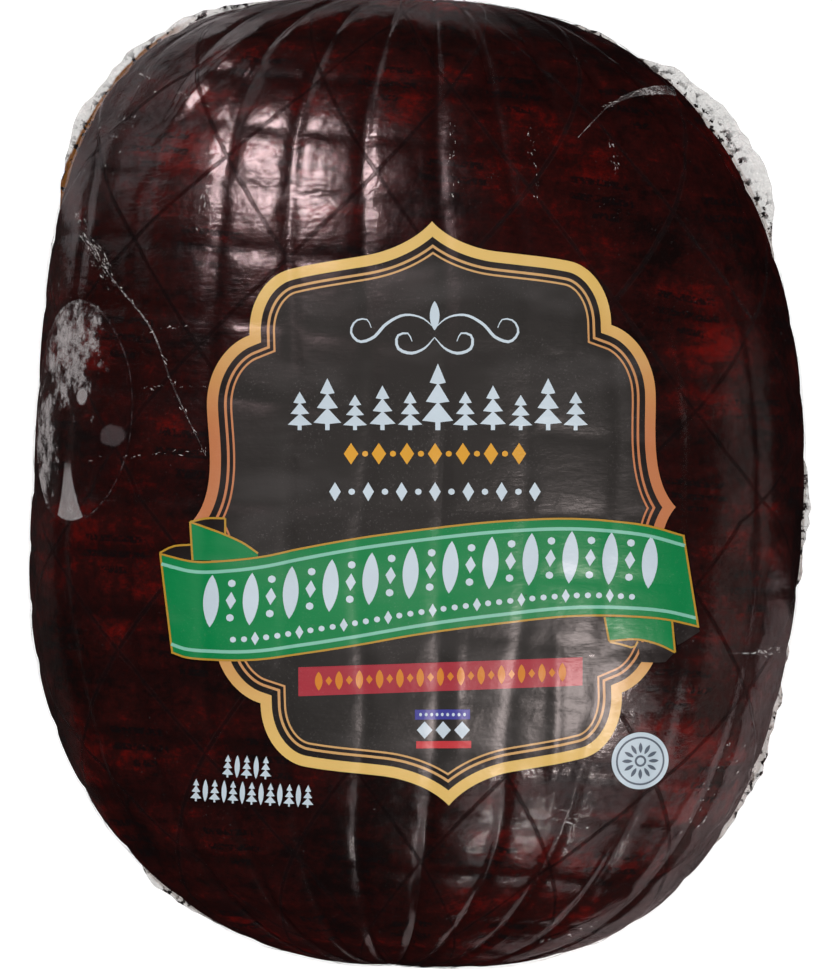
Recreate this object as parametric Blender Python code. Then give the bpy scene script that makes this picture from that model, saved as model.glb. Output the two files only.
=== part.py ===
"""A whole boneless ham, vacuum packed in a clear shrink bag, lying on its back with the label side up.

Frame: metres, +Z up, +Y towards the top of the label, origin under the middle of the pack's box.
The netting that the ham was cooked in has left a grid of shallow grooves. Its cords ran from end to
end (+Y to -Y) and its hoops ran round the girth, so the pack is a closed grid of the same kind: the
share of the way round the girth is u, and the share of the way from the -Y end to the +Y end is v.
"""
import math

import bpy
import numpy as np
from mathutils import Vector

MM = 0.001

# The outline seen from above: four quarters of superellipses, each with its own exponent.
LEFT_REACH = 99.4 * MM
RIGHT_REACH = 101.8 * MM
TOP_REACH = 132.5 * MM
FOOT_REACH = 119.3 * MM
OUTLINE_POWER = {"top_left": 3.25, "top_right": 2.41, "foot_left": 2.3, "foot_right": 2.54}
LEAN = math.radians(2.3)

# The girth section: a fuller dome over the widest level than under it.
WIDEST_LEVEL = 45.0 * MM
DOME_HEIGHT = 61.0 * MM
BELLY_DEPTH = 52.0 * MM
GIRTH_POWER = 2.35
MEAN_OUTLINE_POWER = 2.5
END_PROFILE_REACH = 80.0 * MM

# The netting's grooves, and the pillows of meat between them.
CORDS = 25
HOOPS = 20
STEPS_PER_CORD = 3
STEPS_PER_HOOP = 3
CORD_SHIFT = 0.18
GROOVE_DEPTH = 0.5 * MM
GROOVE_DEPTH_AT_ENDS = 2.6 * MM
GROOVE_HALF_WIDTH = 0.10
# How deep a hoop's groove is beside a cord's, at the pack's middle and at its ends.
HOOP_SHARE = 0.6
HOOP_SHARE_AT_ENDS = 0.12
PILLOW_RISE = 0.15 * MM
# The ribs of meat between the cords, full only where the cords gather at the ends.
RIB_RISE = 1.2 * MM
LUMP_HEIGHT = 0.9 * MM

# The bag's sealed edge, which runs right round the pack a little below its widest level.
EDGE_STEPS = 150
EDGE_LEVEL = 33.0 * MM
EDGE_THICKNESS = 1.2 * MM
EDGE_ROOT = 7.0 * MM
EDGE_WAVE = 1.3 * MM
# Each stretch that stands clear: direction from +X in degrees, spread in degrees, reach past the outline.
EDGE_EARS = (
    (127.0, 17.0, 5.6 * MM),
    (98.0, 14.0, 2.4 * MM),
    (74.0, 8.0, 1.2 * MM),
    (51.5, 14.5, 7.4 * MM),
    (0.0, 12.0, 2.6 * MM),
    (-38.0, 22.0, 1.8 * MM),
    (-118.0, 9.0, 2.0 * MM),
)
EDGE_HIDDEN = -1.5 * MM

# The oval date label on the left flank, pressed onto the bag from outside it.
LABEL_LENGTH = 57.4 * MM
LABEL_WIDTH = 39.0 * MM
LABEL_CENTRE = (-83.1 * MM, 24.5 * MM, 78.9 * MM)
LABEL_FACES_UP = math.radians(43.5)
LABEL_STAND_OFF = 36.0 * MM
LABEL_THICKNESS = 0.5 * MM
LABEL_GAP = 0.8 * MM
LABEL_RINGS = 6
LABEL_SIDES = 36


def signed_power(value, exponent):
    return np.sign(value) * np.abs(value) ** exponent


def even_angles(width, height, power, first, last, share):
    """Angles that step evenly along a superellipse's arc, for shares of the way from first to last."""
    angle = np.linspace(first, last, 4001)
    x = width * signed_power(np.cos(angle), 2 / power)
    y = height * signed_power(np.sin(angle), 2 / power)
    run = np.concatenate([[0.0], np.cumsum(np.hypot(np.diff(x), np.diff(y)))])
    return np.interp(share, run / run[-1], angle)


def blend(weight, low, high):
    return low + (high - low) * weight


def outline_power(side, end):
    """The outline's exponent: side runs from -1 (left) to 1 (right), end from -1 (foot) to 1 (top)."""
    right = 0.5 + 0.5 * side
    top = 0.5 + 0.5 * end
    at_top = blend(right, OUTLINE_POWER["top_left"], OUTLINE_POWER["top_right"])
    at_foot = blend(right, OUTLINE_POWER["foot_left"], OUTLINE_POWER["foot_right"])
    return blend(top, at_foot, at_top)


def lean(x, y):
    return x * math.cos(LEAN) + y * math.sin(LEAN), y * math.cos(LEAN) - x * math.sin(LEAN)


def smooth_form(u, v):
    """Points of the pack without its netting marks, as columns x, y and z."""
    around = even_angles(
        (LEFT_REACH + RIGHT_REACH) / 2, (DOME_HEIGHT + BELLY_DEPTH) / 2, GIRTH_POWER, 0, 2 * math.pi, u
    )
    along = even_angles(
        END_PROFILE_REACH, (TOP_REACH + FOOT_REACH) / 2, MEAN_OUTLINE_POWER, -math.pi / 2, math.pi / 2, v
    )
    side = np.clip(1.4 * np.cos(around), -1, 1)
    exponent = 2 / outline_power(side, np.where(along > 0, 1.0, -1.0))
    ring = np.abs(np.cos(along)) ** exponent
    across = signed_power(np.cos(around), 2 / GIRTH_POWER) * ring
    height = signed_power(np.sin(around), 2 / GIRTH_POWER) * ring
    x = across * np.where(across > 0, RIGHT_REACH, LEFT_REACH)
    y = signed_power(np.sin(along), exponent) * np.where(along > 0, TOP_REACH, FOOT_REACH)
    z = WIDEST_LEVEL + height * np.where(height > 0, DOME_HEIGHT, BELLY_DEPTH)
    x, y = lean(x, y)
    return np.stack([x, y, z], -1)


def groove(cell):
    """1 in the middle of a groove, 0 on the meat between. cell counts grooves."""
    off = cell - np.round(cell)
    return np.exp(-((off / GROOVE_HALF_WIDTH) ** 2))


def netting_relief(u, v):
    """How far the surface stands off the smooth form."""
    cords = u * CORDS + CORD_SHIFT
    hoops = v * HOOPS
    end = np.abs(2 * v - 1) ** 3
    open_end = np.clip(6 * np.minimum(v, 1 - v), 0, 1)
    depth = blend(end, GROOVE_DEPTH, GROOVE_DEPTH_AT_ENDS)
    marks = np.maximum(groove(cords), blend(end, HOOP_SHARE, HOOP_SHARE_AT_ENDS) * groove(hoops))
    pillow = np.abs(np.sin(math.pi * cords) * np.sin(math.pi * hoops)) * PILLOW_RISE
    rib = np.abs(np.sin(math.pi * cords)) * RIB_RISE * end
    turn = 2 * math.pi * u
    lump = np.sin(3 * turn + 7 * v) * np.sin(9 * v + 1.0) + 0.5 * np.sin(5 * turn - 11 * v + 2.0)
    return (pillow + rib - depth * marks + LUMP_HEIGHT * lump) * open_end


def outward(u, v):
    """Unit normals of the smooth form, from its slopes."""
    step = 1e-4
    inner = np.clip(v, 0.002, 0.998)
    along_u = smooth_form((u + step) % 1, inner) - smooth_form((u - step) % 1, inner)
    along_v = smooth_form(u, inner + step) - smooth_form(u, inner - step)
    normal = np.cross(along_v, along_u)
    return normal / np.maximum(np.linalg.norm(normal, axis=-1, keepdims=True), 1e-12)


def pack_surface(u, v):
    """The pack's outside: netting marks on the smooth form, pressed flat where it rests."""
    points = smooth_form(u, v) + outward(u, v) * netting_relief(u, v)[..., None]
    points[..., 2] = np.maximum(points[..., 2], 0.0)
    return points


def new_material(name, colour, roughness):
    material = bpy.data.materials.new(name)
    material.use_nodes = True
    shader = material.node_tree.nodes["Principled BSDF"]
    shader.inputs["Base Color"].default_value = (*colour, 1.0)
    shader.inputs["Roughness"].default_value = roughness
    shader.inputs["Metallic"].default_value = 0.0
    return material


def finish(obj, material):
    obj.data.materials.clear()
    obj.data.materials.append(material)
    obj.data.shade_smooth()
    obj.data.set_sharp_from_angle(angle=math.radians(50))


def make_pack():
    """The ham in its bag: a sphere whose poles are the pack's two ends, drawn out to its form."""
    bpy.ops.mesh.primitive_uv_sphere_add(
        segments=CORDS * STEPS_PER_CORD, ring_count=HOOPS * STEPS_PER_HOOP, radius=1.0
    )
    pack = bpy.context.object
    pack.name = "ham_pack"
    ball = np.array([vertex.co for vertex in pack.data.vertices])
    # The girth is turned by the cords' shift, so that their grooves fall on the sphere's own columns.
    shift = CORD_SHIFT / CORDS
    u = (np.arctan2(ball[:, 1], ball[:, 0]) / (2 * math.pi) - shift) % 1
    v = np.arccos(np.clip(-ball[:, 2], -1, 1)) / math.pi
    points = pack_surface(u, v)
    for vertex, point in zip(pack.data.vertices, points):
        vertex.co = point
    pack.data.flip_normals()
    return pack


def edge_reach(angle):
    """How far the sealed edge stands past the outline at an angle from +X."""
    reach = np.full_like(angle, EDGE_HIDDEN)
    for direction, spread, clear in EDGE_EARS:
        off = (np.degrees(angle) - direction + 180) % 360 - 180
        reach += (clear - EDGE_HIDDEN) * np.exp(-((off / spread) ** 2))
    return reach + 0.5 * MM * np.sin(17 * angle) + 0.35 * MM * np.sin(41 * angle + 1.0)


def outline_points(angle, reach):
    """Points on the outline, moved outwards by reach. Directions are counted from +X."""
    upper = np.sin(angle) > 0
    power = outline_power(np.where(np.cos(angle) > 0, 1.0, -1.0), np.where(upper, 1.0, -1.0))
    x = np.cos(angle) / np.where(np.cos(angle) > 0, RIGHT_REACH, LEFT_REACH)
    y = np.sin(angle) / np.where(upper, TOP_REACH, FOOT_REACH)
    radius = (np.abs(x) ** power + np.abs(y) ** power) ** (-1 / power) + reach
    return lean(radius * np.cos(angle), radius * np.sin(angle))


def make_edge():
    """The sealed edge: a thin wavy washer whose root is inside the pack."""
    angle = np.linspace(0, 2 * math.pi, EDGE_STEPS, endpoint=False)
    wave = EDGE_WAVE * (np.sin(11 * angle) + 0.6 * np.sin(23 * angle + 2.0))
    vertices = []
    for reach, lift, drop in (
        (-EDGE_ROOT, 0.0, 0.0),
        (edge_reach(angle), 1.0, 0.3),
    ):
        x, y = outline_points(angle, reach)
        middle = EDGE_LEVEL + wave * lift
        half = EDGE_THICKNESS * (0.5 - 0.2 * lift)
        for z in (middle + half, middle - half):
            vertices.append(np.stack([x, y, z], -1))
    count = EDGE_STEPS
    faces = []
    for i in range(count):
        j = (i + 1) % count
        for first, second in ((0, 2), (2, 3), (3, 1), (1, 0)):
            faces.append(
                (first * count + i, second * count + i, second * count + j, first * count + j)
            )
    mesh = bpy.data.meshes.new("sealed_edge")
    mesh.from_pydata(np.concatenate(vertices).tolist(), [], faces)
    edge = bpy.data.objects.new("sealed_edge", mesh)
    bpy.context.collection.objects.link(edge)
    return edge


def join(target, piece):
    """Fuses a piece into the target solid and removes the piece."""
    union = target.modifiers.new("join", "BOOLEAN")
    union.operation = "UNION"
    union.solver = "EXACT"
    union.object = piece
    bpy.ops.object.select_all(action="DESELECT")
    bpy.context.view_layer.objects.active = target
    bpy.ops.object.modifier_apply(modifier=union.name)
    bpy.data.objects.remove(piece)


def oval_of_rings(name, length, width, rings, sides):
    """A flat oval in the XY plane, its length along X, divided into rings and sectors."""
    turns = np.arange(sides) / sides * 2 * math.pi
    vertices = [(0.0, 0.0, 0.0)]
    for ring in range(1, rings + 1):
        share = 0.5 * ring / rings
        vertices += [(share * length * math.cos(turn), share * width * math.sin(turn), 0.0) for turn in turns]
    faces = []
    for k in range(sides):
        following = (k + 1) % sides
        faces.append((0, 1 + k, 1 + following))
        for inner in range(1, 1 + (rings - 1) * sides, sides):
            outer = inner + sides
            faces.append((inner + k, outer + k, outer + following, inner + following))
    mesh = bpy.data.meshes.new(name)
    mesh.from_pydata(vertices, [], faces)
    oval = bpy.data.objects.new(name, mesh)
    bpy.context.collection.objects.link(oval)
    return oval


def make_date_label(pack):
    """The label's oval, pressed straight onto the flank and then given its thickness outwards."""
    label = oval_of_rings("date_label", LABEL_LENGTH, LABEL_WIDTH, LABEL_RINGS, LABEL_SIDES)
    facing = Vector((-math.cos(LABEL_FACES_UP), 0.0, math.sin(LABEL_FACES_UP)))
    label.location = Vector(LABEL_CENTRE) + facing * LABEL_STAND_OFF
    label.rotation_euler = facing.to_track_quat("Z", "Y").to_euler()
    wrap = label.modifiers.new("wrap", "SHRINKWRAP")
    wrap.target = pack
    wrap.wrap_method = "PROJECT"
    wrap.use_project_z = True
    wrap.use_negative_direction = True
    wrap.use_positive_direction = False
    wrap.wrap_mode = "OUTSIDE_SURFACE"
    wrap.offset = LABEL_GAP
    shell = label.modifiers.new("thickness", "SOLIDIFY")
    shell.thickness = LABEL_THICKNESS
    shell.offset = 1.0
    return label


def place_over_origin(pack, others):
    """Moves everything sideways so that the origin is under the middle of the pack's box."""
    corners = np.array([vertex.co for vertex in pack.data.vertices])
    middle = (corners.min(0) + corners.max(0)) / 2
    for obj in (pack, *others):
        obj.location.x -= middle[0]
        obj.location.y -= middle[1]


def main():
    for obj in list(bpy.data.objects):
        bpy.data.objects.remove(obj)
    pack = make_pack()
    join(pack, make_edge())
    finish(pack, new_material("smoked_rind_in_film", (0.060, 0.016, 0.013), 0.28))
    label = make_date_label(pack)
    finish(label, new_material("clear_label", (0.42, 0.38, 0.38), 0.25))
    place_over_origin(pack, [label])


main()
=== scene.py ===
import math

import bpy
import numpy as np
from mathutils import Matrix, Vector


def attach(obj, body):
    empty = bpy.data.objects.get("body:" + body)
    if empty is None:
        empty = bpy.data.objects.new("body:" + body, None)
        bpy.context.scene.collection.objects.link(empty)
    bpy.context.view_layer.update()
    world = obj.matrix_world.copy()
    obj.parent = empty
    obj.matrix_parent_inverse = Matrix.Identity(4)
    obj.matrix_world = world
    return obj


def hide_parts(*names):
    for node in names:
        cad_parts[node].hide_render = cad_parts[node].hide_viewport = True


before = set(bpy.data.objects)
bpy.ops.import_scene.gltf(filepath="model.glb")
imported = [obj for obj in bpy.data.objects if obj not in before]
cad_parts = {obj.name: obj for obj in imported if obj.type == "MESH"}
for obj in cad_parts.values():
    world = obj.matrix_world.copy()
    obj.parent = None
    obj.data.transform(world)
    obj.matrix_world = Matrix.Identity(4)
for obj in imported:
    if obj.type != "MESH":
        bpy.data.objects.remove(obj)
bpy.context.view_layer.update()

# A whole boneless ham in a printed shrink bag, seen from straight above with its label up.
# Lengths are metres, and the lines and shapes of the print are in millimetres. The pack's own
# shape repeats the solid's: u is the share of the way round the girth and v the share of the way
# from the foot (-Y) to the top (+Y).

mm = 0.001
tau = 2 * math.pi


# one wrapped socket, so that shader maths reads as sums
class Wire:
    def __init__(self, socket):
        self.socket = socket
        self.tree = socket.id_data

    # any node: its settings first, then the values or wires of its sockets
    def node(self, kind, settings=None, values=None, out=0):
        made = self.tree.nodes.new(kind)
        for name, value in (settings or {}).items():
            setattr(made, name, value)
        for place, value in (values or {}).items():
            if isinstance(value, Wire):
                self.tree.links.new(value.socket, made.inputs[place])
            elif value is not None:
                made.inputs[place].default_value = value
        return Wire(made.outputs[out])

    def maths(self, operation, a, b=None):
        return self.node("ShaderNodeMath", {"operation": operation}, {0: a, 1: b})

    def __add__(self, other):
        return self.maths("ADD", self, other)

    def __radd__(self, other):
        return self.maths("ADD", other, self)

    def __sub__(self, other):
        return self.maths("SUBTRACT", self, other)

    def __rsub__(self, other):
        return self.maths("SUBTRACT", other, self)

    def __mul__(self, other):
        return self.maths("MULTIPLY", self, other)

    def __rmul__(self, other):
        return self.maths("MULTIPLY", other, self)

    def __truediv__(self, other):
        return self.maths("DIVIDE", self, other)

    def __pow__(self, other):
        return self.maths("POWER", self, other)

    def __abs__(self):
        return self.maths("ABSOLUTE", self)

    def held(self):
        return self.node("ShaderNodeClamp", None, {0: self})

    def orMore(self, other):
        return self.maths("MAXIMUM", self, other)

    # 0 below start and 1 above end, with a soft way between them
    def ramp(self, start, end):
        settings = {"interpolation_type": "SMOOTHSTEP"}
        return self.node("ShaderNodeMapRange", settings, {0: self, 1: start, 2: end})

    def fade(self, start, end):
        return 1.0 - self.ramp(start, end)

    # distance to the nearest whole number
    def fromWhole(self):
        return abs(self - self.maths("ROUND", self))

    def parts(self):
        return [self.node("ShaderNodeSeparateXYZ", None, {0: self}, i) for i in range(3)]

    def scaled(self, x, y, z):
        return self.node("ShaderNodeVectorMath", {"operation": "MULTIPLY"}, {0: self, 1: (x, y, z)})

    # 1 closer to a place than start and 0 past end, all counted in the unit
    def near(self, place, start, end, unit=mm):
        values = {0: self, 1: tuple(unit * one for one in place)}
        distance = self.node("ShaderNodeVectorMath", {"operation": "DISTANCE"}, values, 1)
        return distance.fade(unit * start, unit * end)

    def noise(self, scale, detail=3.0, rough=0.55, warp=0.0):
        values = {"Vector": self, "Scale": scale, "Detail": detail, "Roughness": rough, "Distortion": warp}
        return self.node("ShaderNodeTexNoise", None, values)

    def mapped(self, name):
        return self.node("ShaderNodeUVMap", {"uv_map": name})


def mixed(factor, first, second):
    source = next(one for one in (factor, first, second) if isinstance(one, Wire))
    first, second = (one if isinstance(one, Wire) else (*one, 1.0) for one in (first, second))
    return source.node("ShaderNodeMix", {"data_type": "RGBA"}, {0: factor, 6: first, 7: second}, 2)


def sRgb(*channels):
    shares = [value / 255 for value in channels]
    return tuple(one / 12.92 if one <= 0.04045 else ((one + 0.055) / 1.055) ** 2.4 for one in shares)


# a material with its output ready; build(at) returns the surface, at being the piece's own place
def newMaterial(name, build):
    material = bpy.data.materials.new(name)
    material.use_nodes = True
    tree = material.node_tree
    tree.nodes.clear()
    surface = build(Wire(tree.nodes.new("ShaderNodeTexCoord").outputs["Object"]))
    output = tree.nodes.new("ShaderNodeOutputMaterial")
    tree.links.new(surface.socket, output.inputs["Surface"])
    return material


def principled(at, colour, roughness, **others):
    values = {name.replace("_", " "): value for name, value in others.items()}
    values["Base Color"] = colour if isinstance(colour, Wire) else (*colour, 1.0)
    values["Roughness"] = roughness
    return at.node("ShaderNodeBsdfPrincipled", None, values)


def bumped(at, height, distance, strength):
    return at.node("ShaderNodeBump", None, {"Strength": strength, "Distance": distance, "Height": height})


form = {
    "leftReach": 99.4 * mm,
    "rightReach": 101.8 * mm,
    "topReach": 132.5 * mm,
    "footReach": 119.3 * mm,
    "cornerPowers": {"topLeft": 3.25, "topRight": 2.41, "footLeft": 2.3, "footRight": 2.54},
    "sideTurn": 1.4,           # how quickly the powers change from the left side to the right
    "lean": math.radians(2.3),
    "widestLevel": 45.0 * mm,
    "domeHeight": 61.0 * mm,
    "bellyDepth": 52.0 * mm,
    "girthPower": 2.35,
    "meanOutlinePower": 2.5,
    "endProfileReach": 80.0 * mm,
    "girthLength": 530.0 * mm,
    "steps": 4001,             # how finely the curves are measured
    # the solid stands with its box's middle over the origin, and its formula does not
    "shift": np.array([-2.53 * mm, -7.91 * mm, 0.0]),
}

netting = {
    "cords": 25.0,
    "hoops": 20.0,
    "cordShift": 0.18,
    "cordDrift": 0.32,         # how far the cords stray to the left above the label, in cords
    "driftRange": (0.55, 0.80),
    "cordWander": 0.10,        # how far a cord strays from its own line, in cords
    "hoopWander": 0.06,
    "grooveDepth": 0.42 * mm,
    "grooveDepthAtEnds": 2.6 * mm,
    "grooveHalfWidth": 0.10,
    "hoopShare": 0.6,          # a hoop's groove beside a cord's, in the middle and at the ends
    "hoopShareAtEnds": 0.12,
    "pillowRise": 0.15 * mm,
    "ribRise": 1.2 * mm,       # the ribs of meat between the cords, full only at the ends
    "lumpHeight": 0.9 * mm,
    # soft noises: how many cells lie round the girth and along the pack, and the seed
    "cordNoise": (25, 9, 1),
    "hoopNoise": (18, 20, 2),
    "depthNoise": (13, 7, 3),
}


def signedPower(value, exponent):
    return np.sign(value) * np.abs(value) ** exponent


# how far along a line of points each of them lies
def runOf(line):
    return np.concatenate([[0.0], np.cumsum(np.linalg.norm(np.diff(line, axis=0), axis=-1))])


def evenAngles(width, height, power, first, last, share):
    angle = np.linspace(first, last, form["steps"])
    x = width * signedPower(np.cos(angle), 2 / power)
    y = height * signedPower(np.sin(angle), 2 / power)
    run = runOf(np.stack([x, y], -1))
    return np.interp(share, run / run[-1], angle)


def blended(weight, low, high):
    return low + (high - low) * weight


def outlinePower(side, end):
    powers = form["cornerPowers"]
    right = 0.5 + 0.5 * side
    atTop = blended(right, powers["topLeft"], powers["topRight"])
    atFoot = blended(right, powers["footLeft"], powers["footRight"])
    return blended(0.5 + 0.5 * end, atFoot, atTop)


def leaned(x, y):
    cos, sin = math.cos(form["lean"]), math.sin(form["lean"])
    return x * cos + y * sin, y * cos - x * sin


def smoothForm(u, v):
    width = (form["leftReach"] + form["rightReach"]) / 2
    height = (form["domeHeight"] + form["bellyDepth"]) / 2
    length = (form["topReach"] + form["footReach"]) / 2
    around = evenAngles(width, height, form["girthPower"], 0, tau, u)
    along = evenAngles(form["endProfileReach"], length, form["meanOutlinePower"], -tau / 4, tau / 4, v)
    side = np.clip(form["sideTurn"] * np.cos(around), -1, 1)
    exponent = 2 / outlinePower(side, np.where(along > 0, 1.0, -1.0))
    ring = np.abs(np.cos(along)) ** exponent
    across = signedPower(np.cos(around), 2 / form["girthPower"]) * ring
    rise = signedPower(np.sin(around), 2 / form["girthPower"]) * ring
    x = across * np.where(across > 0, form["rightReach"], form["leftReach"])
    y = signedPower(np.sin(along), exponent) * np.where(along > 0, form["topReach"], form["footReach"])
    z = form["widestLevel"] + rise * np.where(rise > 0, form["domeHeight"], form["bellyDepth"])
    x, y = leaned(x, y)
    return np.stack([x, y, z], -1)


def outward(u, v):
    step = 1e-4
    inner = np.clip(v, 0.002, 0.998)
    alongU = smoothForm((u + step) % 1, inner) - smoothForm((u - step) % 1, inner)
    alongV = smoothForm(u, inner + step) - smoothForm(u, inner - step)
    normal = np.cross(alongV, alongU)
    return normal / np.maximum(np.linalg.norm(normal, axis=-1, keepdims=True), 1e-12)


def smoothStep(value, start=0.0, end=1.0):
    share = np.clip((value - start) / (end - start), 0, 1)
    return share * share * (3 - 2 * share)


# soft random values from 0 to 1 on cells that close round the girth and may slant along the pack
def softNoise(u, v, net, slant=0.0):
    wrap, rows, seed = net
    depth = 64
    table = np.random.default_rng(seed).random((wrap, depth))
    a, b = u * wrap + slant * v, v * rows
    i, j = np.floor(a).astype(int), np.floor(b).astype(int)
    f, g = smoothStep(a - i), smoothStep(b - j)
    low, high = (
        blended(f, table[i % wrap, row % depth], table[(i + 1) % wrap, row % depth]) for row in (j, j + 1)
    )
    return blended(g, low, high)


def ridges(u, v, net, sharpness, slant=0.0):
    return (1 - np.abs(2 * softNoise(u, v, net, slant) - 1)) ** sharpness


def groove(cell):
    off = cell - np.round(cell)
    return np.exp(-((off / netting["grooveHalfWidth"]) ** 2))


def towardsEnds(v, power):
    return np.abs(2 * v - 1) ** power


# 1 along the pack, falling to 0 at its two poles
def closing(v, steepness):
    return np.clip(steepness * np.minimum(v, 1 - v), 0, 1)


def nettingRelief(u, v, cordDepth, hoopDepth):
    cordStray = netting["cordWander"] * (2 * softNoise(u, v, netting["cordNoise"]) - 1)
    hoopStray = netting["hoopWander"] * (2 * softNoise(u, v, netting["hoopNoise"]) - 1)
    drift = netting["cordDrift"] * smoothStep(v, *netting["driftRange"])
    cords = u * netting["cords"] + netting["cordShift"] + cordStray - drift
    hoops = v * netting["hoops"] + hoopStray
    end = towardsEnds(v, 3)
    depth = blended(end, netting["grooveDepth"], netting["grooveDepthAtEnds"])
    depth = depth * (0.45 + 1.1 * softNoise(u, v, netting["depthNoise"]))
    hoopShare = blended(end, netting["hoopShare"], netting["hoopShareAtEnds"]) * hoopDepth
    marks = np.maximum(blended(end, cordDepth, 1.0) * groove(cords), hoopShare * groove(hoops))
    between = np.abs(np.sin(math.pi * cords))
    pillow = between * np.abs(np.sin(math.pi * hoops)) * netting["pillowRise"]
    rib = end * netting["ribRise"] * between
    turn = tau * u
    lump = np.sin(3 * turn + 7 * v) * np.sin(9 * v + 1.0) + 0.5 * np.sin(5 * turn - 11 * v + 2.0)
    return (pillow + rib - depth * marks + netting["lumpHeight"] * lump) * closing(v, 6)


# fine folds of the tight film, which the meat under it does not have
filmFolds = {
    "cordDepth": 0.72,             # the film bridges the grooves, so it follows them less
    "hoopDepth": 0.62,
    "pleatHeight": 0.6 * mm,       # long folds between the cords, towards both ends
    "creaseHeight": 0.03 * mm,     # thin upright creases
    "crumpleHeight": 0.07 * mm,    # small dents all over
    "pleatNoise": (50, 5, 11),
    "creaseNoise": (110, 16, 12),
    "crumpleNoise": (120, 74, 13),
    "fineCrumpleNoise": (230, 150, 14),
    # the pleats are fuller at the top left corner: its place and reach, first in u and then in v
    "fullCorner": ((0.40, 0.07), (0.66, 0.16)),
    # single ridges: where each runs from and to on the form, its half width and its height, in millimetres
    "ridges": (
        ((36.6, -28.0), (35.8, -78.0), 1.5, 0.45),
        ((11.4, -28.0), (11.2, -64.0), 1.7, 0.35),
        ((73.5, -65.0), (54.0, -101.0), 1.5, 0.60),
        ((49.0, -88.0), (40.5, -101.0), 1.2, 0.45),
        ((-60.5, 102.0), (-35.0, 125.0), 1.7, 0.85),
        ((-43.0, 110.0), (-28.0, 123.0), 1.6, 0.80),
        ((-66.0, 93.0), (-51.0, 109.5), 1.5, 0.65),
        ((-69.0, 80.0), (-64.0, 97.0), 1.5, 0.45),
        ((-26.0, 114.5), (-18.5, 122.5), 1.4, 0.50),
        ((-77.0, 74.0), (-72.0, 90.0), 1.6, 0.40),
    ),
}


def ridgeRelief(points):
    height = np.zeros(points.shape[:-1])
    for start, stop, halfWidth, most in filmFolds["ridges"]:
        start, way = np.array(start) * mm, np.subtract(stop, start) * mm
        share = np.clip((points[..., :2] - start) @ way / (way @ way), 0, 1)
        off = np.linalg.norm(points[..., :2] - start - share[..., None] * way, axis=-1)
        height += most * mm * np.exp(-((off / (halfWidth * mm)) ** 2)) * np.sin(math.pi * share) ** 0.5
    return np.where(points[..., 2] > form["widestLevel"], height, 0.0)


def filmRelief(u, v):
    (place, spread), (start, reach) = filmFolds["fullCorner"]
    corner = np.exp(-(((u - place) / spread) ** 2)) * np.clip((v - start) / reach, 0, 1)
    fullness = 0.10 + towardsEnds(v, 5) + 0.4 * corner
    pleats = ridges(u, v, filmFolds["pleatNoise"], 5, slant=1.5) * fullness
    creases = ridges(u, v, filmFolds["creaseNoise"], 4)
    crumple = softNoise(u, v, filmFolds["crumpleNoise"]) - 0.75
    crumple = crumple + 0.5 * softNoise(u, v, filmFolds["fineCrumpleNoise"])
    return closing(v, 8) * (
        filmFolds["pleatHeight"] * pleats
        + filmFolds["creaseHeight"] * creases
        + filmFolds["crumpleHeight"] * crumple
    )


def reachOf(u, v, stand, isFilm):
    depths = (filmFolds["cordDepth"], filmFolds["hoopDepth"]) if isFilm else (1.0, 1.0)
    relief = nettingRelief(u, v, *depths) + stand
    points = smoothForm(u, v)
    if isFilm:
        relief = relief + filmRelief(u, v) + ridgeRelief(points)
    points = points + outward(u, v) * relief[..., None]
    points[..., 2] = np.maximum(points[..., 2], 0.0)
    return points + form["shift"]


# one property of all of a mesh's points, corners or faces
def valuesOf(items, name, kind=float, each=1):
    values = np.empty(len(items) * each, dtype=kind)
    items.foreach_get(name, values)
    return values


def coordinatesOf(mesh):
    return valuesOf(mesh.vertices, "co", each=3).reshape(-1, 3)


def cornersOf(mesh):
    return valuesOf(mesh.loops, "vertex_index", int)


def setCoordinates(mesh, points):
    mesh.vertices.foreach_set("co", np.asarray(points, dtype=float).reshape(-1))
    mesh.update()


def fillMap(mesh, name, across, along):
    layer = mesh.uv_layers.new(name=name)
    layer.data.foreach_set("uv", np.stack([across, along], -1).reshape(-1))


def deselect():
    bpy.ops.object.select_all(action="DESELECT")


def onlyActive(piece):
    deselect()
    piece.select_set(True)
    bpy.context.view_layer.objects.active = piece


def apply(piece, modifier):
    onlyActive(piece)
    bpy.ops.object.modifier_apply(modifier=modifier.name)


def placeInMesh(piece):
    onlyActive(piece)
    bpy.ops.object.transform_apply(location=True, rotation=True, scale=True)


def merge(piece, distance, sliver=0.0, outwards=False):
    onlyActive(piece)
    bpy.ops.object.mode_set(mode="EDIT")
    bpy.ops.mesh.select_all(action="SELECT")
    bpy.ops.mesh.remove_doubles(threshold=distance)
    if sliver:
        bpy.ops.mesh.dissolve_degenerate(threshold=sliver)
    if outwards:
        bpy.ops.mesh.normals_make_consistent(inside=False)
    bpy.ops.object.mode_set(mode="OBJECT")


# pressed against the target along the piece's own -Z
def press(piece, target, lift):
    wrap = piece.modifiers.new("press", "SHRINKWRAP")
    wrap.target = target
    wrap.wrap_method = "PROJECT"
    wrap.use_project_z = True
    wrap.use_negative_direction = True
    wrap.use_positive_direction = False
    wrap.wrap_mode = "ABOVE_SURFACE"
    wrap.offset = lift
    apply(piece, wrap)


def thicken(piece, thickness, offset):
    body = piece.modifiers.new("thickness", "SOLIDIFY")
    body.thickness = thickness
    body.offset = offset
    apply(piece, body)


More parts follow.
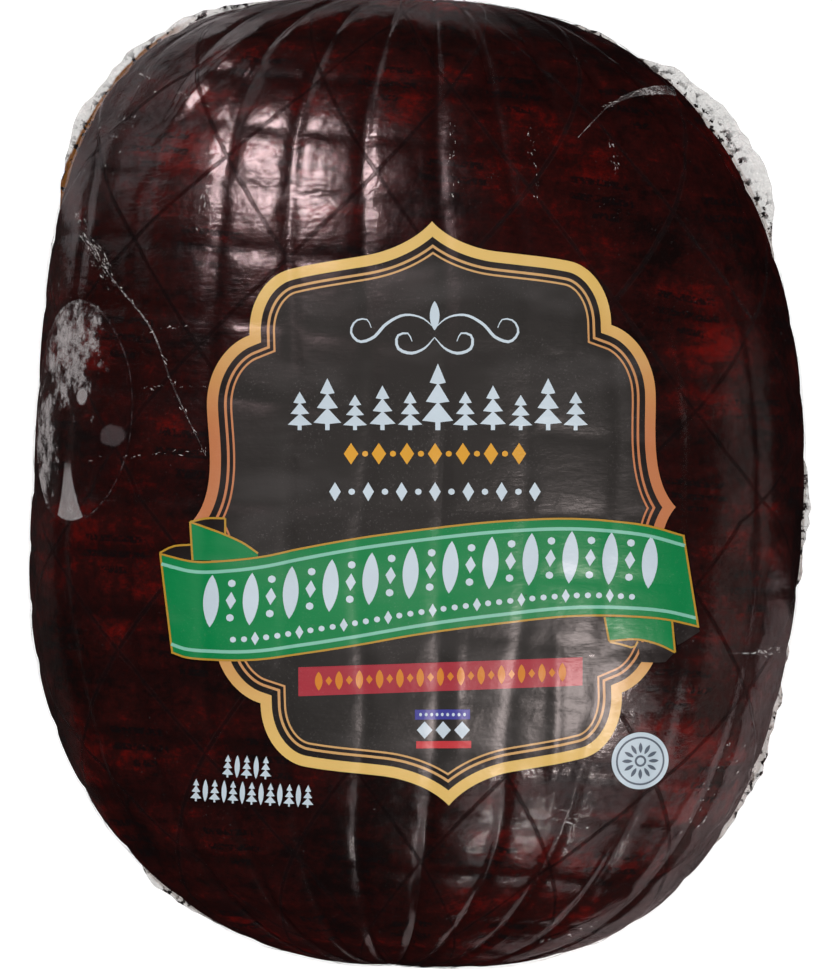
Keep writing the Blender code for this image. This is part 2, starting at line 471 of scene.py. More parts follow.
# a flat grid, and how far across and up it each of its points lies
def makeGrid(name, columns, rows):
    deselect()
    bpy.ops.mesh.primitive_grid_add(x_subdivisions=columns, y_subdivisions=rows, size=1.0)
    piece = bpy.context.object
    piece.name = piece.data.name = name
    piece.data.uv_layers.remove(piece.data.uv_layers[0])
    spot = coordinatesOf(piece.data) + 0.5
    return piece, spot[:, 0], spot[:, 1]


def finished(piece, material=None):
    if material:
        piece.data.materials.clear()
        piece.data.materials.append(material)
    onlyActive(piece)
    bpy.ops.object.shade_smooth_by_angle(angle=math.radians(50))
    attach(piece, "root")
    return piece


# a ball whose poles are the pack's two ends, drawn out to the form, and the u and v of its points
def makePackSkin(name, settings, isFilm):
    deselect()
    bpy.ops.mesh.primitive_uv_sphere_add(
        segments=settings["segments"], ring_count=settings["rings"], radius=1.0
    )
    skin = bpy.context.object
    skin.name = skin.data.name = name
    skin.data.uv_layers.remove(skin.data.uv_layers[0])
    ball = coordinatesOf(skin.data)
    u = (np.arctan2(ball[:, 1], ball[:, 0]) / tau - netting["cordShift"] / netting["cords"]) % 1
    v = np.arccos(np.clip(-ball[:, 2], -1, 1)) / math.pi
    setCoordinates(skin.data, reachOf(u, v, settings["stand"], isFilm))
    skin.data.flip_normals()
    return skin, u, v


# a map whose first axis is u, wrapped round the girth, and whose second is height(v)
def drawMap(mesh, name, u, v, height=lambda share: share):
    corners, totals = cornersOf(mesh), valuesOf(mesh.polygons, "loop_total", int)
    face = np.repeat(np.arange(len(totals)), totals)
    cornerU, cornerV = u[corners], v[corners]
    pole = (cornerV < 1e-6) | (cornerV > 1 - 1e-6)
    highest = np.full(len(totals), -1.0)
    np.maximum.at(highest, face[~pole], cornerU[~pole])
    cornerU = np.where(cornerU < highest[face] - 0.5, cornerU + 1, cornerU)
    mean = np.bincount(face, cornerU * ~pole) / np.maximum(np.bincount(face, ~pole), 1)
    fillMap(mesh, name, np.where(pole, mean[face], cornerU), height(cornerV))


# how far up the bag a share v lies, along the middle of the label side
def bagLength(v):
    share = np.linspace(0, 1, 1001)
    run = runOf(smoothForm(np.full_like(share, 0.25), share))
    return np.interp(v, share, run - np.interp(0.5, share, run))


# the bag's printed net: thin lines in diamonds, with three soft dark bars in each
diamonds = {
    "round": 12.0,
    "height": 50.0 * mm,
    "phase": (0.18, -0.18),
    "lineHalfWidth": 0.46 * mm,
    "lineInk": sRgb(24, 17, 18),
    "barPitch": 4.2 * mm,
    "barHalfHeight": 1.1 * mm,
    "barHalfWidths": (4.3 * mm, 10.5 * mm, 9.5 * mm),
    "barInk": sRgb(16, 11, 12),
    "barStrength": 0.85,
    "barGrain": (850.0, 2.0, 0.7),
}
diamonds["width"] = form["girthLength"] / diamonds["round"]


# how many lines lie before a place, counted along the two ways that the lines climb
def diamondsOf(at):
    u, length, _ = at.mapped("bag").parts()
    across = u * diamonds["round"] + diamonds["phase"][0]
    along = length * (1 / diamonds["height"]) + diamonds["phase"][1]
    return across + along, across - along


def softBars(at):
    fromRising, fromFalling = (one - one.maths("FLOOR", one) - 0.5 for one in diamondsOf(at))
    sideways = abs((fromRising + fromFalling) * (0.5 * diamonds["width"]))
    upwards = (fromRising - fromFalling) * (0.5 * diamonds["height"])
    bars = 0.0
    for step, halfWidth in zip((-1, 0, 1), diamonds["barHalfWidths"]):
        height = abs(upwards - step * diamonds["barPitch"])
        inRow = height.fade(0.6 * diamonds["barHalfHeight"], diamonds["barHalfHeight"])
        bars = bars + inRow * sideways.fade(0.9 * halfWidth, halfWidth)
    return bars * at.noise(*diamonds["barGrain"]).ramp(0.38, 0.54) * diamonds["barStrength"]


ham = {
    "segments": 300,
    "rings": 200,
    "stand": -0.35 * mm,
    "deepBrown": sRgb(19, 9, 9),
    "mahogany": sRgb(45, 13, 12),
    "red": sRgb(100, 14, 11),
    "ember": sRgb(160, 40, 18),
    # the dark colour of the rind near the cords and hoops
    "netLineDark": sRgb(12, 8, 8),
    # how much glow turns the brown to mahogany and then to red
    "mahoganyRange": (0.08, 0.40),
    "redRange": (0.34, 0.66),
    # noises: scale, detail, roughness and warp
    "broad": (24.0, 3.0, 0.6),
    "streaks": (95.0, 5.0, 0.7, 0.4),
    "streakStretch": (0.6, 1.7, 1.0),
    "specks": (420.0, 3.0, 0.75),
    # painted shade: the rind is darkened low on its flanks, fully below the first height and not above the
    # second
    "flankShadeRange": (42 * mm, 84 * mm),
    # the rind is darker near the cords and hoops: this far from their lines, in cords, and this much
    "hoopDarkening": ((0.03, 0.26), 0.62),
    "cordDarkening": ((0.02, 0.14), 0.45),
    # the rind glows most at these places, in millimetres: each place and its reach
    "embers": (
        ((72, 52, 70), 14),
        ((65, 77, 64), 9),
        ((8, 92, 80), 7),
        ((44, 100, 70), 6),
        ((28, 108, 66), 6),
    ),
    # and is redder or browner round these: each place, where that starts and ends, how much
    "shades": (
        ((52, 60, 76), 18, 58, 0.07),
        ((-60, 38, 78), 12, 48, 0.05),
        ((-62, -66, 72), 22, 72, -0.06),
        ((30, 98, 74), 8, 34, -0.06),
    ),
}


def rindSurface(at):
    u, v, _ = at.mapped("girth").parts()
    # painted shade: rim is 1 low on the flanks and darkens the rind there
    rim = at.parts()[2].fade(*ham["flankShadeRange"])
    broad = at.noise(*ham["broad"])
    streaks = at.scaled(*ham["streakStretch"]).noise(*ham["streaks"])
    specks = at.noise(*ham["specks"])
    glow = streaks * 0.75 + broad + (specks - 0.5) * 0.5 - rim * 0.08 - 0.55
    for place, start, end, change in ham["shades"]:
        glow = glow + at.near(place, start, end) * change
    glow = glow.held()
    colour = mixed(glow.ramp(*ham["mahoganyRange"]), ham["deepBrown"], ham["mahogany"])
    colour = mixed(glow.ramp(*ham["redRange"]), colour, ham["red"])
    for place, reach in ham["embers"]:
        near = at.near(place, 0.1 * reach, reach)
        colour = mixed(near * glow.ramp(0.24, 0.46) * 0.8, colour, ham["ember"])
    drift = v.ramp(*netting["driftRange"]) * netting["cordDrift"]
    cords = u * netting["cords"] + netting["cordShift"] - drift
    cordMark, hoopMark = (
        cell.fromWhole().fade(*reach) * most
        for cell, (reach, most) in ((cords, ham["cordDarkening"]), (v * netting["hoops"], ham["hoopDarkening"]))
    )
    patchy = (broad * 0.6 + streaks * 0.4).ramp(0.36, 0.60)
    colour = mixed(hoopMark.orMore(cordMark) * patchy, colour, ham["netLineDark"])
    colour = mixed(softBars(at), colour, diamonds["barInk"])
    normal = bumped(at, streaks * 0.5 + specks * 0.25, 0.8 * mm, 0.6)
    return principled(at, colour, 0.55, Normal=normal, Specular_IOR_Level=0.0)


def makeHam():
    piece, u, v = makePackSkin("ham", ham, False)
    drawMap(piece.data, "girth", u, v)
    drawMap(piece.data, "bag", u, v, bagLength)
    return finished(piece, newMaterial("smoked rind", rindSurface))


# the clear film
film = {
    "segments": 400,
    "rings": 240,
    "stand": 0.15 * mm,
    # the film's milky haze; the same colour paints sheen and glints on the inks
    "hazeAndSheen": sRgb(205, 194, 194),
    "milkPlace": ((-96, 52, 62), 19),   # air under the film above the date label, in millimetres
    "milk": (330.0, 5.0, 0.75),
    "specks": (1900.0, 2.0, 0.6),
    "clearSheen": 0.05,                 # how much of the light the bare film throws back
    "roughness": 0.21,
    # the film clings to the rind here, shines less and is rougher: the place, where that starts and ends
    "dullPlace": ((56, 78, 74), 42, 70),
    "dullLoss": 0.042,
    "dullRoughness": 0.12,
    "flankRange": (40 * mm, 80 * mm),   # the flanks are rougher too
    "flankRoughness": 0.10,
    # the fine relief: how each noise is stretched, the noise itself and its share of the height
    "wrinkles": (
        ((0.2, 1.0, 0.2), (1100.0, 2.0, 0.6), 0.13),
        ((0.35, 1.0, 0.35), (430.0, 3.0, 0.65, 0.5), 0.24),
        ((1.0, 1.0, 1.0), (1250.0, 2.0, 0.7), 0.08),
        ((1.0, 1.0, 1.0), (120.0, 3.0, 0.62), 0.9),
    ),
    "wrinkleHeight": 0.55 * mm,
}


# fine wrinkles of tight film: long ones across the pack, small dents between them
def filmNormal(at, strength=0.5):
    height = sum(at.scaled(*stretch).noise(*noise) * share for stretch, noise, share in film["wrinkles"])
    return bumped(at, height, film["wrinkleHeight"], strength)


def filmSurface(at):
    rising, falling = diamondsOf(at)
    thin = diamonds["lineHalfWidth"] / diamonds["width"]
    nearest = rising.maths("MINIMUM", rising.fromWhole(), falling.fromWhole())
    lines = nearest.fade(thin * 0.4, thin * 2.1)
    ink = lines * (0.30 + at.noise(160.0, 3.0, 0.7).ramp(0.36, 0.62) * 0.34)
    place, reach = film["milkPlace"]
    milk = at.noise(*film["milk"]) + at.noise(90.0, 2.0) * 0.6
    milk = milk.ramp(0.86, 1.0) * at.near(place, 0.3 * reach, reach) * 0.5
    # pale specks of air in the film, which are also painted glints
    specks = at.noise(*film["specks"]).ramp(0.70, 0.77) * at.noise(60.0, 2.0).ramp(0.42, 0.66)
    milk = milk.orMore(specks * 0.28)
    printed, milky = ink.ramp(0.02, 0.10), milk.ramp(0.02, 0.10)
    colour = mixed(printed, mixed(milky, (1, 1, 1), film["hazeAndSheen"]), diamonds["lineInk"])
    clear = 1.0 - printed.orMore(milky)
    dull = at.near(*film["dullPlace"])
    grain = at.noise(560.0, 3.0, 0.75).ramp(0.36, 0.64)
    uneven = 0.54 + grain * 0.42 + at.noise(48.0, 3.0, 0.6).ramp(0.32, 0.68) * 0.50
    alpha = ink.orMore(milk).orMore((film["clearSheen"] - dull * film["dullLoss"]) * uneven)
    flank = at.parts()[2].fade(*film["flankRange"])
    rough = film["roughness"] + dull * film["dullRoughness"] + flank * film["flankRoughness"]
    return principled(at, colour, rough, Metallic=clear, Alpha=alpha, Normal=filmNormal(at))


def makeFilm():
    piece, u, v = makePackSkin("film", film, True)
    drawMap(piece.data, "bag", u, v, bagLength)
    finished(piece, newMaterial("clear film", filmSurface))
    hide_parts("ham_pack")
    piece.visible_shadow = False
    return piece


# the print is flat sheets laid on the film from above; their places count from the label's middle
label = {
    "middle": np.array([5.84 * mm, -1.29 * mm]) + form["shift"][:2],
    "above": 0.13,             # the level that the sheets start from, clear of the pack
    "thickness": 0.05 * mm,
    "frameLift": 0.12 * mm,
    "ribbonLift": 0.24 * mm,
    "ornamentLift": 0.36 * mm,
    "strokeStep": 1.2 * mm,
    "inks": {
        "gold": sRgb(240, 198, 112),
        "charcoal": sRgb(46, 43, 41),
        "black": sRgb(34, 29, 28),
        "lineGold": sRgb(222, 172, 108),
        "trimGold": sRgb(196, 148, 50),
        "yellow": sRgb(236, 168, 36),
        "green": sRgb(6, 136, 74),
        "paleGreen": sRgb(140, 208, 184),
        "white": sRgb(214, 228, 238),
        "redBar": sRgb(176, 46, 60),
        "orange": sRgb(226, 136, 30),
        "blue": sRgb(62, 62, 158),
        "redStrip": sRgb(214, 48, 56),
        "slate": sRgb(92, 104, 118),
    },
    # the golds turn to copper halfway up the frame
    "copper": sRgb(206, 128, 84),
    "copperInks": ("gold", "lineGold"),
    "copperRange": (16 * mm, 62 * mm),
}
inks = {}


# printed ink under the bag's own gloss; the shade wavers a little, with pale flecks of air that are partly
# painted glints, and soft pale clouds of painted sheen
def inkSurface(ink, second):
    def build(at):
        dark, bright = (tuple(share * one for one in ink) for share in (0.9, 1.06))
        colour = mixed(at.noise(70.0, 2.0), dark, bright)
        if second:
            height = abs(at.parts()[1] - float(label["middle"][1]))
            colour = mixed(height.ramp(*label["copperRange"]), second, colour)
        # pale flecks of air over the ink, which are also painted glints
        airFlecksAndGlints = at.noise(1900.0, 2.0, 0.7).ramp(0.58, 0.74) * at.noise(55.0, 2.0).ramp(0.36, 0.62)
        # painted sheen: soft pale clouds mixed into the ink's colour, standing in for reflections on the
        # film's dents
        paintedSheen = at.scaled(0.5, 1.4, 0.5).noise(34.0, 3.0, 0.6, 0.3).ramp(0.50, 0.72)
        colour = mixed(airFlecksAndGlints * 0.10 + paintedSheen * 0.045, colour, film["hazeAndSheen"])
        return principled(at, colour, 0.30, Normal=filmNormal(at, 0.36))
    return build


def makeInks():
    for name, ink in label["inks"].items():
        second = label["copper"] if name in label["copperInks"] else None
        inks[name] = newMaterial("ink " + name, inkSurface(ink, second))


# a grid of sheets between named lines: place(s, t) gives x and y from the label's middle
def sheetOf(across, down, place, inkNames, inkAt=None):
    sheet, column, row = makeGrid("sheet", len(across) - 1, len(down) - 1)
    s = np.asarray(across, dtype=float)[np.rint(column * (len(across) - 1)).astype(int)]
    t = np.asarray(down, dtype=float)[np.rint(row * (len(down) - 1)).astype(int)]
    x, y = place(s, t)
    level = np.full(len(s), label["above"])
    setCoordinates(sheet.data, np.stack([x + label["middle"][0], y + label["middle"][1], level], -1))
    for name in inkNames:
        sheet.data.materials.append(inks[name])
    if inkAt:
        faces = cornersOf(sheet.data).reshape(-1, 4)
        which = inkAt(s[faces].mean(1), t[faces].mean(1))
        sheet.data.polygons.foreach_set("material_index", which.astype(int))
    if sum(face.normal.z * face.area for face in sheet.data.polygons) < 0:
        sheet.data.flip_normals()
    return sheet


def evenSheet(columns, rows, place, ink):
    return sheetOf(np.linspace(0, 1, columns + 1), np.linspace(0, 1, rows + 1), place, [ink])


# a smooth line through the points, at shares of the way along it
def throughPoints(points, share):
    points = np.asarray(points, dtype=float)
    if len(points) == 2:
        return points[0] + np.multiply.outer(share, points[1] - points[0])
    knots = runOf(points)
    slopes = np.gradient(points, knots, axis=0)
    where = np.asarray(share) * knots[-1]
    piece = np.clip(np.searchsorted(knots, where, side="right") - 1, 0, len(points) - 2)
    gap = (knots[piece + 1] - knots[piece])[..., None]
    f = (where - knots[piece])[..., None] / gap
    return (
        (1 + 2 * f) * (1 - f) ** 2 * points[piece]
        + f * (1 - f) ** 2 * gap * slopes[piece]
        + f * f * (3 - 2 * f) * points[piece + 1]
        - f * f * (1 - f) * gap * slopes[piece + 1]
    )


# the unit vectors along that line
def headings(points, share, step=0.004):
    later, earlier = np.minimum(share + step, 1.0), np.maximum(share - step, 0.0)
    ahead = throughPoints(points, later) - throughPoints(points, earlier)
    return ahead / np.linalg.norm(ahead, axis=-1, keepdims=True)


# a printed line; profile(s) is its share of the full width
def strokeOf(points, width, ink, profile=np.ones_like, columns=None, rows=2):
    points = np.asarray(points) * mm
    length = runOf(throughPoints(points, np.linspace(0, 1, 60)))[-1]
    columns = columns or max(2, int(length / label["strokeStep"]))

    def place(s, t):
        line, ahead = throughPoints(points, s), headings(points, s)
        half = width * mm * (t - 0.5) * profile(s)
        return line[:, 0] - ahead[:, 1] * half, line[:, 1] + ahead[:, 0] * half

    return evenSheet(columns, rows, place, ink)


# a field of one ink between two lines of points
def fieldOf(first, second, ink, columns, rows):
    def place(s, t):
        low, high = (throughPoints(np.asarray(line) * mm, s) for line in (first, second))
        point = blended(t[:, None], low, high)
        return point[:, 0], point[:, 1]

    return evenSheet(columns, rows, place, ink)


# the sheets become one piece, pressed down onto the film and given their thickness
def laidDown(sheets, name, target, lift, material=None):
    deselect()
    for sheet in sheets:
        sheet.select_set(True)
    bpy.context.view_layer.objects.active = sheets[0]
    if len(sheets) > 1:
        bpy.ops.object.join()
    piece = bpy.context.view_layer.objects.active
    piece.name = piece.data.name = name
    placeInMesh(piece)
    merge(piece, 0.004 * mm, sliver=0.001 * mm)
    press(piece, target, lift)
    rise = piece.data.attributes.get("rise")
    if rise:
        points = coordinatesOf(piece.data)
        points[:, 2] += valuesOf(rise.data, "value")
        setCoordinates(piece.data, points)
    thicken(piece, label["thickness"], -1.0)
    return finished(piece, material)


# the label's frame: a quarter of its outline as Bezier curves, in millimetres from its middle
frameShape = {
    "tipToNotch": (
        ((0.0, 73.4), (3.2, 69.6), (9.5, 66.4), (16.0, 65.4)),
        ((16.0, 65.4), (22.0, 64.5), (29.0, 63.8), (35.0, 62.5)),
        ((35.0, 62.5), (41.0, 61.2), (45.6, 54.5), (45.4, 46.2)),
    ),
    "notchToSide": (
        ((45.4, 46.2), (51.5, 44.2), (56.6, 37.0), (56.4, 28.0)),
        ((56.4, 28.0), (56.3, 20.0), (54.2, 7.0), (60.8, 0.0)),
    ),
    "tipColumns": 60,
    "sideColumns": 52,
    "middle": (1.5, 0.0),
    "lean": math.radians(1.67),
    "leftSpread": 1.025,
    "rightSpread": 0.975,
    # the widths of the rings from the outline inwards, and their inks
    "rings": ((2.75, "gold"), (1.5, "black"), (0.65, "lineGold"), (0.85, "black"), (0.5, "lineGold")),
    "panelRows": 44,
}


def bezierLine(curves, columns):
    share = np.linspace(0, 1, 200)[:, None]
    rest = 1 - share
    line = np.concatenate([
        a * rest ** 3 + 3 * b * share * rest ** 2 + 3 * c * share ** 2 * rest + d * share ** 3
        for a, b, c, d in (np.asarray(curve) for curve in curves)
    ])
    run = runOf(line)
    even = np.linspace(0, run[-1], columns + 1)
    return np.stack([np.interp(even, run, line[:, i]) for i in range(2)], -1)


def inwardOf(line):
    ahead = np.gradient(line, axis=0)
    ahead = ahead / np.linalg.norm(ahead, axis=1, keepdims=True)
    return np.stack([ahead[:, 1], -ahead[:, 0]], -1)


# the quarter outline moved inwards; what crosses an axis of the frame stops where the line meets it
def quarterLine(inset):
    top = bezierLine(frameShape["tipToNotch"], frameShape["tipColumns"])
    side = bezierLine(frameShape["notchToSide"], frameShape["sideColumns"])
    topIn, sideIn = inwardOf(top), inwardOf(side)
    corner = (topIn[-1] + sideIn[0]) / (1 + topIn[-1] @ sideIn[0])
    notch = top[-1] + corner * inset
    top, side = top + topIn * inset, side + sideIn * inset
    top[-1] = side[0] = notch
    top[top[:, 0] <= 1e-6] = (0.0, np.interp(0.0, top[:, 0], top[:, 1]))
    side[side[:, 1] <= 1e-6] = (np.interp(0.0, side[::-1, 1], side[::-1, 0]), 0.0)
    return np.concatenate([top, side[1:]])


def wholeLine(inset):
    quarter = quarterLine(inset)
    mirrored = [quarter, quarter[::-1] * (1, -1), quarter * (-1, -1), quarter[::-1] * (-1, 1)]
    return np.concatenate([part[:-1] for part in mirrored] + [quarter[:1]])


def makeFrame(target):
    edges = np.cumsum([0.0] + [width for width, _ in frameShape["rings"]])
    lines = [wholeLine(inset) for inset in np.insert(edges, 1, edges[1] / 2)]
    lines += [lines[-1] * share for share in np.linspace(1, 0, frameShape["panelRows"] + 1)[1:]]
    lines = np.stack(lines)
    inkNames = ["gold", "black", "lineGold", "charcoal"]
    ringInks = ["gold"] + [name for _, name in frameShape["rings"]] + ["charcoal"]

    def place(s, t):
        point = lines[np.rint(t).astype(int), np.rint(s).astype(int)]
        x = point[:, 0] * np.where(point[:, 0] < 0, frameShape["leftSpread"], frameShape["rightSpread"])
        y = point[:, 1]
        cos, sin = math.cos(frameShape["lean"]), math.sin(frameShape["lean"])
        middle = frameShape["middle"]
        return (x * cos - y * sin + middle[0]) * mm, (x * sin + y * cos + middle[1]) * mm

    def inkAt(s, t):
        ring = np.minimum(np.floor(t).astype(int), len(ringInks) - 1)
        return np.array([inkNames.index(name) for name in ringInks])[ring]

    sheet = sheetOf(np.arange(lines.shape[1]), np.arange(len(lines)), place, inkNames, inkAt)
    return laidDown([sheet], "label_frame", target, label["frameLift"])


# the ribbon's fields, from the lowest up: each has an upper line, and a lower one that ends in Foot
ribbon = {
    # each field's name, ink, columns and rows
    "fields": (
        ("leftInside", "black", 8, 4),
        ("leftWedge", "green", 16, 8),
        ("leftCurl", "black", 8, 4),
        ("rightShade", "black", 8, 5),
        ("rightFlap", "black", 8, 5),
        ("rightTail", "green", 16, 8),
        ("rightLens", "black", 8, 3),
        ("band", "green", 140, 24),
    ),
    "band": (
        (-68.9, -9.8), (-60.7, -11.7), (-52.0, -11.5), (-44.2, -10.6), (-32.5, -8.2), (-19.6, -5.9),
        (-3.6, -3.7), (16.5, -1.6), (35.5, -1.0), (44.7, -1.6), (53.5, -2.8), (62.6, -5.3),
    ),
    "bandFoot": (
        (-65.9, -35.1), (-62.8, -36.2), (-56.3, -36.8), (-45.5, -36.8), (-32.5, -35.1), (-19.6, -33.1),
        (-3.6, -30.3), (16.5, -27.6), (37.6, -25.7), (48.2, -25.9), (58.8, -26.9), (66.5, -28.7),
    ),
    "leftWedge": ((-61.3, -2.0), (-52.4, -5.2), (-47.3, -7.6), (-44.2, -9.8)),
    "leftWedgeFoot": ((-60.7, -11.6), (-54.0, -11.6), (-49.0, -11.2), (-44.2, -10.6)),
    "leftInside": ((-61.3, -2.0), (-57.2, -1.1), (-52.4, -1.1)),
    "leftInsideFoot": ((-61.3, -2.1), (-57.2, -3.5), (-52.4, -5.2)),
    "leftCurl": ((-69.0, -9.8), (-65.9, -8.2), (-61.1, -7.7)),
    "leftCurlFoot": ((-69.0, -9.9), (-65.0, -11.0), (-61.0, -11.6)),
    "rightTail": ((42.6, -25.9), (51.0, -26.1), (59.7, -26.9)),
    "rightTailFoot": ((43.8, -31.9), (51.0, -31.5), (57.0, -33.1), (60.5, -34.9)),
    "rightLens": ((44.0, -32.0), (47.5, -31.6), (51.0, -31.5)),
    "rightLensFoot": ((44.0, -32.1), (46.8, -32.7), (50.3, -33.3), (51.0, -32.0)),
    "rightShade": ((59.9, -27.2), (66.5, -28.7), (66.9, -29.6)),
    "rightShadeFoot": ((61.1, -33.1), (62.5, -32.4), (66.9, -29.7)),
    "rightFlap": ((51.1, -32.0), (57.0, -33.2), (60.4, -34.9)),
    "rightFlapFoot": ((51.7, -37.2), (55.0, -37.4), (58.1, -37.3)),
    # stripes along the band: how far from its top, or below 0 from its foot, the width and the ink
    "stripes": (
        (2.8, 0.85, "paleGreen"), (0.25, 0.5, "trimGold"),
        (-2.4, 0.85, "paleGreen"), (-0.25, 0.5, "trimGold"),
    ),
    "stripeColumns": 150,
    # lines that carry the gold trim, and fields trimmed from line to line at their start or end
    "trim": 0.5,
    "trimmedLines": ("leftInside", "leftWedge", "leftCurl", "rightTailFoot", "rightLensFoot"),
    "trimmedEnds": (
        ("band", 0), ("band", -1), ("leftInside", -1), ("leftWedge", 0), ("rightTail", 0), ("rightTail", -1),
    ),
}


def makeRibbon(target):
    fields = [
        fieldOf(ribbon[name], ribbon[name + "Foot"], ink, columns, rows)
        for name, ink, columns, rows in ribbon["fields"]
    ]
    return laidDown(fields, "ribbon", target, label["ribbonLift"])


# the band's two long edges at so many shares of the way along them
def bandEdges(count):
    share = np.linspace(0, 1, count)
    return throughPoints(ribbon["band"], share), throughPoints(ribbon["bandFoot"], share)


def makeRibbonTrim(target):
    top, foot = bandEdges(40)
    drop = np.linalg.norm(foot - top, axis=1)
    strokes = []
    for inset, width, ink in ribbon["stripes"]:
        fromTop = (inset if inset > 0 else drop + inset) / drop
        line = top + (foot - top) * fromTop[:, None]
        strokes.append(strokeOf(line, width, ink, columns=ribbon["stripeColumns"]))
    lines = [ribbon[name] for name in ribbon["trimmedLines"]]
    lines += [(ribbon[name][i], ribbon[name + "Foot"][i]) for name, i in ribbon["trimmedEnds"]]
    strokes += [strokeOf(line, ribbon["trim"], "trimGold") for line in lines]
    return laidDown(strokes, "ribbon_trim", target, label["ornamentLift"])


# plain ornaments fill the places of the print; each of their shapes is modelled once, one
# millimetre high and wide, and copied
def leafShape(s):
    return np.sin(math.pi * np.clip(s, 0.0, 1.0)) ** 0.75


def lozengeShape(s):
    return 1.0 - np.abs(2 * s - 1)


def roundShape(s):
    return np.sqrt(np.maximum(0.0, 1 - (2 * s - 1) ** 2))


# a trunk and three tiers of branches, each tier narrower than the one below
def firShape(s):
    trunk = 0.14
    tier = np.clip((s - trunk) / (1 - trunk) * 3, 0, 2.999)
    spread = (1 - (tier - np.floor(tier))) * (1.0 - 0.24 * np.floor(tier))
    return np.where(s < trunk, 0.16, spread)


def taperedShape(s):
    return 0.25 + 0.75 * np.sin(math.pi * s)


def flaredShape(s):
    return 0.12 + 0.88 * s


# each pattern's outline and how many columns it takes
patterns = {
    "fir": (firShape, 42),
    "leaf": (leafShape, 12),
    "lozenge": (lozengeShape, 8),
    "dot": (roundShape, 8),
    "sliver": (leafShape, 4),
}


# the copies of one pattern, each at x, y with its own width, height and turn
def copiesOf(name, ink, places):
    profile, columns = patterns[name]
    pattern = strokeOf(((0.0, -0.5), (0.0, 0.5)), 1.0, ink, profile, columns)
    points = coordinatesOf(pattern.data)
    points[:, :2] -= label["middle"]
    setCoordinates(pattern.data, points)
    copies = []
    for x, y, width, height, turn in places:
        onlyActive(pattern)
        bpy.ops.object.duplicate()
        copy = bpy.context.object
        copy.location = (label["middle"][0] + x * mm, label["middle"][1] + y * mm, 0.0)
        copy.rotation_euler.z = turn
        copy.scale = (width, height, 1.0)
        copies.append(copy)
    bpy.data.objects.remove(pattern)
    return copies


# places along a row: its middle, its length, how many, and how far it climbs over its length
def rowOf(x, y, length, count, climb=0.0):
    steps = np.linspace(-0.5, 0.5, count)
    return [(x + length * step, y + climb * step) for step in steps]


# the shapes take turns along the places; each is a pattern's name, its width, height and turn
def takeTurns(chosen, places, shapes):
    for i, (x, y) in enumerate(places):
        name, *size = shapes[i % len(shapes)]
        chosen.setdefault(name, []).append((x, y, *size))


def allCopies(chosen, ink):
    return [copy for name, places in chosen.items() for copy in copiesOf(name, ink, places)]


ornaments = {
    "scroll": (
        (0.0, 46.5), (3.0, 49.0), (7.5, 49.8), (12.0, 47.6), (15.6, 44.0), (19.0, 43.2),
        (20.9, 45.6), (19.6, 48.4), (16.8, 48.6), (15.8, 46.6),
    ),
    "innerScroll": (
        (0.0, 44.2), (2.6, 41.4), (6.0, 40.2), (9.2, 41.6), (9.2, 44.6), (6.6, 45.2), (5.6, 43.2),
    ),
    "scrollWidth": 0.75,
    "bud": ((0.0, 49.6), ("leaf", 2.4, 7.4, 0.0)),
    "firs": (0.8, 21.0, 69.0, 11),              # middle x, foot y, length, how many
    "firSize": (7.0, 13.0),
    "firScales": (1.28, 0.74, 0.86, 0.68, 1.0, 0.74),     # from the middle one outwards
    # along the ribbon: from x to x, how many, how far down it, and the shapes
    "garland": (-56.0, 54.0, 23, 0.40, (("leaf", 4.0, 13.2, -0.06), ("lozenge", 2.6, 4.4, -0.06))),
    "garlandDots": (4.3, 1.9),                  # how far above and below each lozenge, and how wide
    "pearls": (
        -50.5, 49.5, 37, 0.785,
        (("dot", 1.5, 1.5, 0.0), ("dot", 1.5, 1.5, 0.0), ("lozenge", 2.0, 3.4, 0.0), ("dot", 1.5, 1.5, 0.0)),
    ),
    # rows by their ink: each row as rowOf takes it, and the shapes that take turns in it
    "white": (
        ((0.1, 5.6, 50.0, 13), (("lozenge", 2.9, 4.8, 0.0), ("dot", 1.6, 1.6, 0.0))),
        ((2.2, -54.15, 9.4, 3), (("lozenge", 3.9, 4.4, 0.0),)),
        ((2.0, -50.25, 11.0, 9), (("dot", 0.7, 0.9, 0.0),)),
        ((-47.2, -63.7, 9.6, 5, -0.3), (("fir", 2.9, 5.8, -0.04), ("leaf", 1.3, 5.8, -0.04))),
        ((-46.0, -70.4, 28.4, 13, -1.2), (("fir", 2.9, 5.8, -0.04), ("leaf", 1.3, 5.8, -0.04))),
    ),
    "yellow": (((0.1, 15.1, 42.0, 13), (("lozenge", 3.6, 5.4, 0.0), ("dot", 1.5, 1.5, 0.0))),),
    "orange": (((1.5, -40.75, 61.0, 25, 2.2), (("leaf", 1.9, 4.7, 0.0), ("lozenge", 1.7, 2.3, 0.0))),),
    "redBar": ((-34.1, -38.4), (37.1, -35.9)),
    "redBarFoot": ((-34.1, -45.7), (37.1, -43.0)),
    "redBarGrid": (64, 7),
    "blueStrip": ((-4.9, -50.3), (8.9, -50.2)),
    "blueStripHeight": 2.5,
    "redStrip": ((-4.6, -57.9), (9.2, -57.8)),
    "redStripHeight": 1.8,
}


# places along the ribbon, evenly spaced in x
def alongRibbon(start, end, count, fromTop):
    top, foot = bandEdges(400)
    line = top + (foot - top) * fromTop
    share = np.interp(np.linspace(start, end, count), line[:, 0], np.arange(len(line)))
    return [tuple(np.interp(one, np.arange(len(line)), line[:, i]) for i in range(2)) for one in share]


